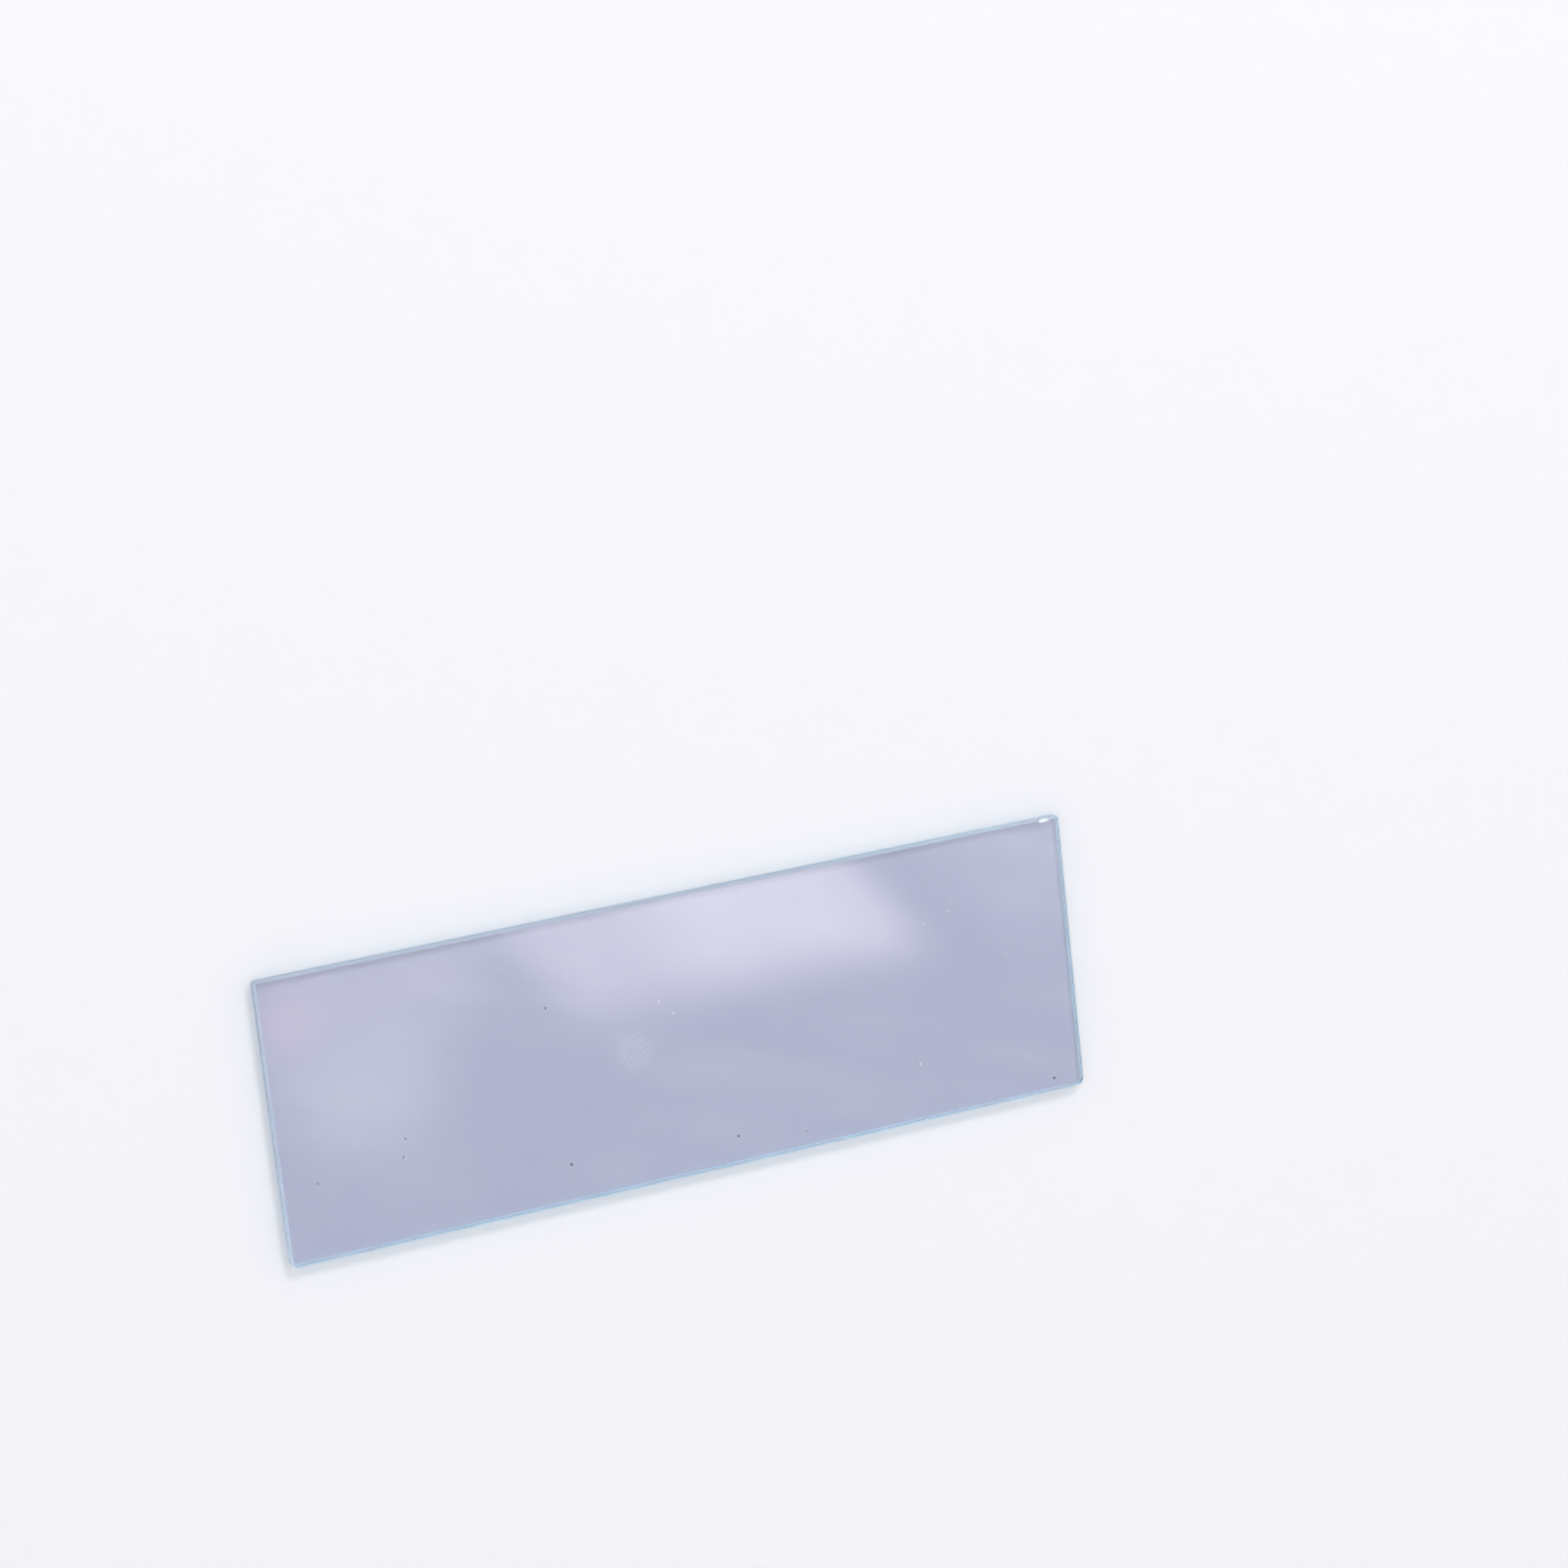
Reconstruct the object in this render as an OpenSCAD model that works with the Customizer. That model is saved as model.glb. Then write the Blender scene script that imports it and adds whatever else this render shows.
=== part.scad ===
// Microscope slide: one plate of clear drawn glass with ground edges and dubbed corners.
// Units are millimetres. X runs along the length, Y across the width and Z up through the
// thickness. The origin is the middle of the underside, the face that rests on the stage.

/* [Plate] */
// Length over the two ground ends, the three inch side of a standard slide
plate_length = 76.2; // [40:0.1:100]
// Width over the two ground long edges, the one inch side of a standard slide
plate_width = 25.4; // [18:0.1:60]
// Thickness of the drawn sheet that the plate is cut from
plate_thickness = 1.1; // [0.9:0.05:2]

/* [Ground edges] */
// Reach of the arris across each face, in from the ground edge
arris_face = 0.18; // [0.05:0.01:0.3]
// Drop of the arris down the ground edge, from the level of the face
arris_drop = 0.2; // [0.05:0.01:0.35]
// Radius that dubs off each upright corner in plan
corner_dub = 0.4; // [0.3:0.05:1.5]

/* [Chip beside one corner] */
// Distance of the chip's middle from the nearer end
chip_from_end = 1.55; // [1.2:0.05:12]
// Length that the chip takes out of the long edge, measured where face and edge would meet
chip_length = 1.5; // [0.9:0.05:1.7]
// Reach of the chip across the upper face
chip_face_reach = 0.5; // [0.3:0.05:0.7]
// Reach of the chip down the long edge
chip_edge_reach = 0.42; // [0.3:0.02:0.6]

/* [Hidden] */
$fn = 96;

half_length = plate_length / 2;
half_width = plate_width / 2;

// The scar of the chip follows one ball. The ball passes through the two ends of the chip on the
// line where face and edge would meet, the furthest point on the face and the lowest on the edge.
chip_half = chip_length / 2;
chip_ball_out = (chip_half ^ 2 - chip_face_reach ^ 2) / (2 * chip_face_reach);
chip_ball_up = (chip_half ^ 2 - chip_edge_reach ^ 2) / (2 * chip_edge_reach);
chip_ball_radius = norm([chip_half, chip_ball_out, chip_ball_up]);

// Section through a pair of ground edges: the sheet's thickness with its four arrises taken off
module ground_section(span) {
    half_span = span / 2;
    polygon([
        [-half_span + arris_face, 0],
        [half_span - arris_face, 0],
        [half_span, arris_drop],
        [half_span, plate_thickness - arris_drop],
        [half_span - arris_face, plate_thickness],
        [-half_span + arris_face, plate_thickness],
        [-half_span, plate_thickness - arris_drop],
        [-half_span, arris_drop]
    ]);
}

// The plate as the two long wheels leave it: its section across the width, run along the length
module ground_along_length() {
    rotate([90, 0, 90])
        linear_extrude(height = plate_length, center = true)
            ground_section(plate_width);
}

// The plate as the two end wheels leave it: its section along the length, run across the width
module ground_across_width() {
    rotate([90, 0, 0])
        linear_extrude(height = plate_width, center = true)
            ground_section(plate_length);
}

// Outline in plan, with its four corners dubbed
module plan_outline() {
    square([plate_length - 2 * corner_dub, plate_width], center = true);
    square([plate_length, plate_width - 2 * corner_dub], center = true);
    for (x_side = [-1, 1], y_side = [-1, 1])
        translate([x_side * (half_length - corner_dub), y_side * (half_width - corner_dub)])
            circle(r = corner_dub);
}

module dubbed_blank() {
    linear_extrude(height = plate_thickness)
        plan_outline();
}

// Shell-shaped chip in the upper arris of the +Y long edge, beside the +X end
module edge_chip() {
    translate([
        half_length - chip_from_end,
        half_width + chip_ball_out,
        plate_thickness + chip_ball_up
    ])
        sphere(r = chip_ball_radius);
}

module glass_slide() {
    color([0.80, 0.89, 0.93, 0.5])
        difference() {
            intersection() {
                ground_along_length();
                ground_across_width();
                dubbed_blank();
            }
            edge_chip();
        }
}

glass_slide();
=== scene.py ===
# %% [markdown]
# # A glass microscope slide
# A microscope slide is one plate of clear glass, three inches by one and about a millimetre thick.
# It is cut from drawn sheet, so its two faces are as the melt left them, and its four edges are
# ground matt on a wheel. Its whole look is in those faces and that narrow rim. This lesson builds
# the rim as real geometry, bites the chips out of it, and gives the one closed body of glass the
# tint, marks, dust and light that make it read as glass.

# %% Open the measured frame
import math
import random

import bmesh
import bpy
import numpy as np
from mathutils import Matrix, Vector


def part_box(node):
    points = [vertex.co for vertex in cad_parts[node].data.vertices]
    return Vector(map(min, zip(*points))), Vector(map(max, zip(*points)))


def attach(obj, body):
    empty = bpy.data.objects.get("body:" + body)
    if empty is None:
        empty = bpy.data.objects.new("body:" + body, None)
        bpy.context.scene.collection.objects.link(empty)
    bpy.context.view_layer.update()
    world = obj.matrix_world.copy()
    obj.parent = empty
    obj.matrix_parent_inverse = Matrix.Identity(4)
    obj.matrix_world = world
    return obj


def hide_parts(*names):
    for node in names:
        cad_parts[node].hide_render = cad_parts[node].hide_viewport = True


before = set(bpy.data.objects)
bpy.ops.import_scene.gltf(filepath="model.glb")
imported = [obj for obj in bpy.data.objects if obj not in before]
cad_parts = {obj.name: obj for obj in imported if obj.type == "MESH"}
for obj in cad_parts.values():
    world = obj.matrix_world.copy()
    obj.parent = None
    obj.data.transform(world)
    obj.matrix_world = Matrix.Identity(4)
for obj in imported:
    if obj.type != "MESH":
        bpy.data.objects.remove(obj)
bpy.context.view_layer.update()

mm = 0.001
slide_low, slide_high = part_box("glass_slide")
slide_length, slide_width, slide_thickness = slide_high - slide_low
half_length, half_width = slide_length / 2, slide_width / 2
print(f"slide {slide_length / mm:.2f} x {slide_width / mm:.2f} x {slide_thickness / mm:.2f} mm")

# %% [markdown]
# ## The view
# The camera comes first, because every later choice is judged through it. A flat plate is best
# shown from well above, through a long lens that keeps its edges nearly parallel. A camera could be
# aimed with three angles, but a direction, an aim point and an upright are easier to correct.

# %% Camera
view_elevation = math.radians(64.62)     # how high the camera stands over the plate
view_bearing = math.radians(150.58)      # where it stands, turned from +X towards +Y
view_distance = 386.4 * mm               # from the aim point
aim_point = Vector((11.75 * mm, 20.5 * mm, slide_high.z))
upright_turn = math.radians(6.77)        # the picture's upright, turned from +Y towards +X

towards_camera = Vector((
    math.cos(view_elevation) * math.cos(view_bearing),
    math.cos(view_elevation) * math.sin(view_bearing),
    math.sin(view_elevation),
))
upright = Vector((math.sin(upright_turn), math.cos(upright_turn), 0))
camera_right = upright.cross(towards_camera).normalized()
camera_up = towards_camera.cross(camera_right)


def put_in_scene(name, data):
    """A new object in the scene, made of a mesh, a camera or a lamp."""
    made = bpy.data.objects.new(name, data)
    bpy.context.scene.collection.objects.link(made)
    return made


camera_data = bpy.data.cameras.new("studio_camera")
camera_data.lens = 101.25
camera_data.sensor_width = 36.0
camera_data.clip_start = 0.01
camera_data.clip_end = 10.0
camera = put_in_scene("studio_camera", camera_data)
turned = Matrix((camera_right, camera_up, towards_camera)).transposed().to_4x4()
camera.matrix_world = Matrix.Translation(aim_point + towards_camera * view_distance) @ turned
bpy.context.scene.camera = camera
print("camera at", [round(value / mm, 1) for value in camera.location], "mm")

# %% [markdown]
# ## The outline in plan
# The ground rim runs all the way round, so the plate can be built like a picture frame: one
# section carried round an outline. Each station has a point, the direction that faces out of the
# glass there, and its distance round the rim. A sharp glass corner cuts fingers, so each is dubbed
# off on the wheel, and no two come out alike: the near pair is rounder here than the far pair.

# %% Stations round the dubbed outline
far_dub, near_dub = 0.4 * mm, 0.8 * mm
station_step = 0.15 * mm
dub_stations = 12


def outline_stations():
    """Points, outward directions and a corner share (0 on a side, 1 in mid corner) round the plan."""
    points, outward, share = [], [], []
    for quarter in range(4):
        start_angle = quarter * math.pi / 2
        x_side = 1 if quarter in (0, 3) else -1
        y_side = 1 if quarter in (0, 1) else -1
        dub = far_dub if y_side > 0 else near_dub
        centre = Vector((x_side * (half_length - dub), y_side * (half_width - dub)))
        for i in range(dub_stations + 1):
            angle = start_angle + i / dub_stations * math.pi / 2
            way = Vector((math.cos(angle), math.sin(angle)))
            points.append(centre + way * dub)
            outward.append(way)
            share.append(math.sin(2 * (angle - start_angle)) ** 2)
        next_dub = far_dub if quarter in (0, 3) else near_dub
        run = (slide_length if quarter in (0, 2) else slide_width) - dub - next_dub
        steps = round(run / station_step)
        way = Vector((math.cos(start_angle + math.pi / 2), math.sin(start_angle + math.pi / 2)))
        along = Vector((-way.y, way.x))
        first = points[-1].copy()
        for i in range(1, steps):
            points.append(first + along * run * i / steps)
            outward.append(way)
            share.append(0.0)
    return np.array(points), np.array(outward), np.array(share)


rim_points, rim_outward, corner_share = outline_stations()
gaps = np.linalg.norm(np.roll(rim_points, -1, axis=0) - rim_points, axis=1)
rim_distance = np.concatenate([[0], np.cumsum(gaps)[:-1]])
rim_total = gaps.sum()
print(len(rim_points), "stations round", round(rim_total / mm, 1), "mm of rim")

# %% [markdown]
# ## The ground section
# A wheel leaves a flat land on each edge and two small slopes, the arrises, where the land would
# meet the faces. A block with its edges bevelled would be quicker, but its arrises would be dead
# even, and real ones wander by a hundredth of a millimetre as a belt carries the plates past the
# wheels. Whole waves round the rim give that wander, so its end meets its start. Each corner of the
# section is eased by a hair, and that catches the light as a thin line.

# %% Wander and easing
arris_face = 0.18 * mm
arris_drop = 0.20 * mm
ease = 0.035 * mm
ease_points = 4
corner_thinning = 0.3       # share by which the arrises narrow in mid corner
land_inset = 0.002 * mm
well_inside = 1 * mm        # a point on each face that gives the section its direction there


def wander(seed, height, waves):
    """A sum of whole waves round the rim, with the given counts, at most `height` high."""
    draw = random.Random(seed)
    total = np.zeros(len(rim_distance))
    for count in waves:
        phase = draw.uniform(0, 2 * math.pi)
        total += np.cos(2 * math.pi * count * rim_distance / rim_total + phase)
    return total * height / len(waves)


def eased(before, corner, after):
    """Rows that turn one corner of the section in a short curve."""
    start = corner + (before - corner) * (ease / np.linalg.norm(before - corner, axis=1))[:, None]
    end = corner + (after - corner) * (ease / np.linalg.norm(after - corner, axis=1))[:, None]
    rows = []
    for i in range(ease_points):
        t = i / (ease_points - 1)
        rows.append((1 - t) ** 2 * start + 2 * t * (1 - t) * corner + t ** 2 * end)
    return rows


# %% Section rows
def section_rows():
    """Rows of (inset, height) pairs, from the upper face round the edge to the lower face."""
    slow, quick = (19, 31, 47), (83, 131, 211, 307)
    thinned = 1 - corner_thinning * corner_share

    def uneven(size, seed, slow_height, quick_height):
        return (size + wander(seed, slow_height, slow)
                + wander(seed + 1, quick_height, quick)) * thinned

    width_top, width_low = (uneven(arris_face, seed, 0.010 * mm, 0.003 * mm) for seed in (1, 3))
    drop_top, drop_low = (uneven(arris_drop, seed, 0.008 * mm, 0.002 * mm) for seed in (5, 7))
    land = land_inset + wander(9, land_inset, (101, 157, 223))

    def column(inset, height):
        return np.stack([inset + 0 * rim_distance, height + 0 * rim_distance], axis=1)

    top_face = column(well_inside, slide_thickness)
    top_arris = column(width_top, slide_thickness)
    land_top = column(land, slide_thickness - drop_top)
    land_low = column(land, drop_low)
    low_arris = column(width_low, 0)
    low_face = column(well_inside, 0)
    rows = eased(top_face, top_arris, land_top)
    rows.append((top_arris + land_top) / 2)
    rows += eased(top_arris, land_top, land_low)
    rows += [land_top + (land_low - land_top) * share for share in (0.35, 0.65)]
    rows += eased(land_top, land_low, low_arris)
    rows.append((land_low + low_arris) / 2)
    rows += eased(land_low, low_arris, low_face)
    return rows


rim_rows = section_rows()
print(len(rim_rows), "rows carried round the rim")

# %% [markdown]
# ## The plate
# The rows become a belt of small four-sided faces, closed by one large flat face above and one
# below, because drawn glass is very nearly flat. Two values are stored on the faces for the
# material to read: `ground` is 1 where the wheel has been, `scar` is 1 where glass has broken away.

# %% Plate
def plate_mesh():
    stations = len(rim_points)
    vertices = []
    for row in rim_rows:
        inward = rim_points - rim_outward * row[:, :1]
        vertices.append(np.concatenate([inward, row[:, 1:]], axis=1))
    faces = []
    for r in range(len(rim_rows) - 1):
        for s in range(stations):
            n = (s + 1) % stations
            faces.append((r * stations + s, (r + 1) * stations + s,
                          (r + 1) * stations + n, r * stations + n))
    belt = len(faces)
    last = (len(rim_rows) - 1) * stations
    faces.append(tuple(range(stations)))
    faces.append(tuple(last + s for s in reversed(range(stations))))
    mesh = bpy.data.meshes.new("slide_plate")
    mesh.from_pydata(np.concatenate(vertices).tolist(), [], faces)
    ground = mesh.attributes.new("ground", "FLOAT", "FACE")
    ground.data.foreach_set("value", [1.0] * belt + [0.0, 0.0])
    mesh.attributes.new("scar", "FLOAT", "FACE")
    mesh.update()
    return mesh


plate = put_in_scene("slide_plate", plate_mesh())
print(len(plate.data.vertices), "points,", len(plate.data.polygons), "faces in the plate")

# %% [markdown]
# ## Chips and nicks
# A blow on an edge lifts a flake and leaves a hollow like the inside of a sea shell, with fine
# ripples round the point that was struck. It could be painted on, but a hollow that is really there
# bends the light by itself. So each scar is cut with a bite: part of a ball, rippled where it
# leaves its mark, and closed behind.

# %% A bite
cap_reach = math.radians(82)     # how far the cap of the ball reaches round from its middle


def bite(body, centre, into, radius, along, rings, spokes, stretch=1.0,
         strike=None, ripple_height=0.0, ripple_length=1.0, lumps=0.0, seed=0):
    """Adds to `body` a closed cap of a ball whose middle points along `into`."""
    draw = random.Random(seed)
    into, along = into.normalized(), along.normalized()
    across = into.cross(along)
    waves = [(draw.uniform(4, 11), draw.uniform(4, 11), draw.uniform(0, 6.3)) for _ in range(3)]

    def place(theta, phi):
        side = along * math.cos(phi) * stretch + across * math.sin(phi)
        way = into * math.cos(theta) + side * math.sin(theta)
        point = centre + way * radius
        out = sum(math.sin(a * way.x + b * way.y + c + 4 * way.z) for a, b, c in waves)
        out *= lumps * radius / len(waves)
        if strike is not None:
            reach = (point - strike).length
            out += ripple_height * math.sin(2 * math.pi * reach / ripple_length)
        return point + way * out

    pole = body.verts.new(place(0, 0))
    previous = None
    for i in range(1, rings + 1):
        theta = cap_reach * i / rings
        ring = [body.verts.new(place(theta, 2 * math.pi * j / spokes)) for j in range(spokes)]
        for j in range(spokes):
            k = (j + 1) % spokes
            if previous is None:
                body.faces.new((pole, ring[k], ring[j]))
            else:
                body.faces.new((previous[j], previous[k], ring[k], ring[j]))
        previous = ring
    lid = body.verts.new(centre - into * radius * 0.5)
    for j in range(spokes):
        body.faces.new((previous[j], previous[(j + 1) % spokes], lid))


bites = bmesh.new()
print("each bite reaches", round(math.degrees(cap_reach)), "degrees from its middle")

# %% [markdown]
# ## The chip beside the corner
# One chip shows at arm's length, on the far long edge beside the corner. The radius of its ball
# says little about it. What can be measured on glass is how long the chip is, and how far it
# reaches over the face and down the edge, so the ball is worked out from those: it passes through
# both ends of the chip, its furthest point and its lowest.

# %% Chip
chip_from_end = 1.55 * mm
chip_length = 1.5 * mm
chip_face_reach = 0.5 * mm
chip_edge_reach = 0.42 * mm
chip_half = chip_length / 2
chip_out = (chip_half ** 2 - chip_face_reach ** 2) / (2 * chip_face_reach)
chip_up = (chip_half ** 2 - chip_edge_reach ** 2) / (2 * chip_edge_reach)
chip_radius = math.sqrt(chip_half ** 2 + chip_out ** 2 + chip_up ** 2)
chip_middle = Vector((half_length - chip_from_end, half_width, slide_thickness))
chip_centre = chip_middle + Vector((0, chip_out, chip_up))
chip_strike = chip_middle + Vector((0.1 * mm, 0, -chip_edge_reach))

bite(bites, centre=chip_centre, into=Vector((0, -chip_out, -chip_up)), radius=chip_radius,
     along=Vector((1, 0, 0)), rings=110, spokes=240,
     strike=chip_strike, ripple_height=0.006 * mm, ripple_length=0.13 * mm)
print(f"chip cut by a ball of {chip_radius / mm:.2f} mm radius")

# %% [markdown]
# ## Nicks along the arrises
# Small nicks come wherever plates knock together in a box, more of them on the upper arris here.
# Most lie anywhere on the rim, so a seeded draw can place them. The few that catch the eye near the
# chipped corner are placed one by one, by the edge they sit on and their distance from that corner.

# %% One nick
nick_draw = random.Random(20)
loose_nicks = 64
clear_of_chip = 1.6 * mm
stations_apart = 6
nick_drop, nick_inset = 0.35, 0.45      # where a nick sits, as shares of the arris's two sizes
stand_off = 0.62                        # how far its ball stands off, as a share of the radius
placed_nicks = [
    # edge, distance from the chipped corner and radius of the bite, in millimetres
    ("far", 0.4, 0.10), ("end", 2.4, 0.12), ("end", 2.8, 0.09), ("end", 15.5, 0.10),
    ("end", 1.4, 0.07), ("far", 3.5, 0.08),
]


def nick(station, upper, size, seed):
    """A small bite out of the upper or the lower arris at one station of the rim."""
    outward = Vector((*rim_outward[station], 0))
    drop = arris_drop * nick_drop
    level = slide_thickness - drop if upper else drop
    edge = Vector((*rim_points[station], level)) - outward * arris_face * nick_inset
    away = (outward + Vector((0, 0, 1 if upper else -1))).normalized()
    bite(bites, centre=edge + away * size * stand_off, into=-away, radius=size,
         along=Vector((-outward.y, outward.x, 0)), rings=9, spokes=18,
         stretch=nick_draw.uniform(1.0, 1.7), lumps=0.12, seed=seed)


def station_on(edge, from_corner):
    """The station on the far or the end edge that lies so far from the chipped corner."""
    x, y = half_length, half_width
    if edge == "far":
        x -= from_corner
    else:
        y -= from_corner
    return int(np.argmin(np.hypot(rim_points[:, 0] - x, rim_points[:, 1] - y)))


# %% Nicks round the rim
taken = [station_on(edge, distance * mm) for edge, distance, _ in placed_nicks]
for number, (station, (_, _, size)) in enumerate(zip(taken, placed_nicks)):
    nick(station, True, size * mm, 100 + number)
while len(taken) < loose_nicks + len(placed_nicks):
    station = nick_draw.randrange(len(rim_points))
    near_chip = (Vector(rim_points[station]) - chip_middle.xy).length < clear_of_chip
    if near_chip or any(abs(station - other) < stations_apart for other in taken):
        continue
    taken.append(station)
    nick(station, nick_draw.random() < 0.6, nick_draw.uniform(0.04, 0.11) * mm, len(taken))
print(len(taken), "nicks")

# %% [markdown]
# ## One cut for all of them
# A cut for each scar would be slow, and each could go wrong. So every bite goes into one cutter,
# and one Boolean takes it from the plate. The values on the faces come through, so the new hollows
# know that they are scars. A cut also leaves points far closer together than a wave of light is
# long, which a saved mesh rounds onto each other. They are merged here; a merge five times as wide
# tears the mesh. A cut can fail without a word, so the cell counts open edges, of which a sound
# plate has none, and measures what is left.

# %% Cut
merge_reach = 0.0002 * mm


def finished_mesh(body, name):
    """Turns every face of a working mesh outwards and gives it back as a mesh to keep."""
    bmesh.ops.recalc_face_normals(body, faces=body.faces)
    mesh = bpy.data.meshes.new(name)
    body.to_mesh(mesh)
    body.free()
    return mesh


bites_mesh = finished_mesh(bites, "bites")
bites_mesh.attributes.new("ground", "FLOAT", "FACE")
scar = bites_mesh.attributes.new("scar", "FLOAT", "FACE")
scar.data.foreach_set("value", [1.0] * len(bites_mesh.polygons))
cutter = put_in_scene("bites", bites_mesh)
cut = plate.modifiers.new("bites", "BOOLEAN")
cut.operation, cut.solver, cut.object = "DIFFERENCE", "MANIFOLD", cutter
seen = plate.evaluated_get(bpy.context.evaluated_depsgraph_get())
cut_mesh = bpy.data.meshes.new_from_object(seen)
cut_mesh.name = "slide_plate_chipped"
plate.modifiers.clear()
plate.data = cut_mesh
bpy.data.objects.remove(cutter)

check = bmesh.new()
check.from_mesh(cut_mesh)
bmesh.ops.remove_doubles(check, verts=check.verts, dist=merge_reach)
check.to_mesh(cut_mesh)
loose = sum(1 for edge in check.edges if not edge.is_manifold)
shortest = min(edge.calc_length() for edge in check.edges)
print(f"{len(check.faces)} faces, {loose} open edges, volume {check.calc_volume() / mm ** 3:.2f} mm3")
print(f"shortest edge {shortest / mm * 1000:.2f} thousandths of a millimetre")
check.free()

# %% [markdown]
# ## Smooth rim, flat faces
# The belt of small faces should shade as one soft surface, but a drawn face must stay dead flat, or
# what it mirrors would bend near its border. So everything is shaded smoothly, and the border of
# each polished face is marked sharp.

# %% Shading
def face_values(mesh, name):
    values = np.zeros(len(mesh.polygons))
    mesh.attributes[name].data.foreach_get("value", values)
    return values


def sharpen_borders(mesh, crease=math.radians(35)):
    mesh.polygons.foreach_set("use_smooth", [True] * len(mesh.polygons))
    mesh.set_sharp_from_angle(angle=crease)
    polished = face_values(mesh, "ground") + face_values(mesh, "scar") < 0.5
    inside, outside = set(), set()
    for polygon, smooth in zip(mesh.polygons, polished):
        (inside if smooth else outside).update(polygon.edge_keys)
    border = inside & outside
    for edge in mesh.edges:
        if edge.key in border:
            edge.use_edge_sharp = True
    return len(border)


print(sharpen_borders(plate.data), "edges kept sharp round the two faces")
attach(plate, "root")
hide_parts("glass_slide")

# %% [markdown]
# ## Small helpers for node trees
# Every finish below is a network of nodes. These helpers keep the cells short: they feed a socket,
# add a node and wire it, do a sum, fade a value, make a group and place it, and start a finish.

# %% Node helpers
def feed(tree, socket, value):
    """Wires another node's output into a socket, or sets a plain value on it."""
    if isinstance(value, bpy.types.NodeSocket):
        tree.links.new(value, socket)
    else:
        socket.default_value = value


def add(tree, kind, settings=None, **inputs):
    """Adds a node. Settings are its own choices; inputs take numbers, colours or sockets."""
    made = tree.nodes.new("ShaderNode" + kind)
    for name, value in (settings or {}).items():
        setattr(made, name, value)
    for name, value in inputs.items():
        feed(tree, made.inputs[name.replace("_", " ")], value)
    return made


def calc(tree, operation, *values, clamp=False):
    """The output of a Math node that works on numbers or sockets."""
    made = tree.nodes.new("ShaderNodeMath")
    made.operation, made.use_clamp = operation, clamp
    for socket, value in zip(made.inputs, values):
        feed(tree, socket, value)
    return made.outputs["Value"]


def times(tree, *values):
    """The product of two numbers or sockets."""
    return calc(tree, "MULTIPLY", *values)


def faded(tree, value, low, high, out_low=0.0, out_high=1.0):
    """The value carried smoothly from one range to another, and held at its ends."""
    made = add(tree, "MapRange", {"interpolation_type": "SMOOTHSTEP"}, Value=value, From_Min=low,
               From_Max=high, To_Min=out_low, To_Max=out_high)
    return made.outputs["Result"]


# %% Helpers for groups and finishes
def new_group(name, inputs, outputs):
    """A shader node group with its sockets, and the two nodes that carry them inside it."""
    group = bpy.data.node_groups.new(name, "ShaderNodeTree")
    for label, kind, value in inputs:
        socket = group.interface.new_socket(label, in_out="INPUT", socket_type="NodeSocket" + kind)
        socket.default_value = value
    for label in outputs:
        group.interface.new_socket(label, in_out="OUTPUT", socket_type="NodeSocketFloat")
    return group, group.nodes.new("NodeGroupInput").outputs, group.nodes.new("NodeGroupOutput").inputs


def place_group(tree, group, **inputs):
    """Puts a group into a tree with its own values."""
    made = tree.nodes.new("ShaderNodeGroup")
    made.node_tree = group
    for name, value in inputs.items():
        feed(tree, made.inputs[name], value)
    return made.outputs


def new_finish(name, **plain):
    """A material, its node tree and its shader, with plain values set on the shader's sockets."""
    finish = bpy.data.materials.new(name)
    finish.use_nodes = True
    shader = finish.node_tree.nodes["Principled BSDF"]
    for label, value in plain.items():
        shader.inputs[label.replace("_", " ")].default_value = value
    return finish, finish.node_tree, shader


# %% [markdown]
# ## Wheel marks
# Grit leaves fine lines that run along the edge and a frost that is denser in some places than in
# others. A texture wrapped round the rim would need a seam. A noise that is slow along the plate
# and quick through its thickness needs none, because every edge of the plate runs level.

# %% Wheel marks
wheel_marks, given, out = new_group(
    "wheel_marks",
    [("Position", "Vector", (0, 0, 0)), ("Along", "Float", 900.0), ("Through", "Float", 24000.0)],
    ["Lines", "Frost"])
tree = wheel_marks
axes = add(tree, "SeparateXYZ", Vector=given["Position"]).outputs
slow = [times(tree, axes[name], given["Along"]) for name in "XY"]
quick = times(tree, axes["Z"], given["Through"])
stretched = add(tree, "CombineXYZ", X=slow[0], Y=slow[1], Z=quick).outputs["Vector"]
lines = add(tree, "TexNoise", Vector=stretched, Scale=1.0, Detail=3.0, Roughness=0.7)
frost = add(tree, "TexNoise", Vector=given["Position"], Scale=5200.0, Detail=4.0)
tree.links.new(lines.outputs["Fac"], out["Lines"])
tree.links.new(faded(tree, frost.outputs["Fac"], 0.36, 0.64), out["Frost"])
print("wheel marks:", len(wheel_marks.nodes), "nodes")

# %% [markdown]
# ## A finger mark
# A slide is picked up by its edges, and sooner or later by its face. What stays is a thin film of
# grease in ridges half a millimetre apart, clear in the middle of the touch and lost round it. A
# picture of a print would be somebody's own. These ridges are nobody's: rings round a core that
# lies outside the touch, so that they show as bows. A slow noise bends them, and a quick one breaks
# them into the beads that pores leave.

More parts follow.
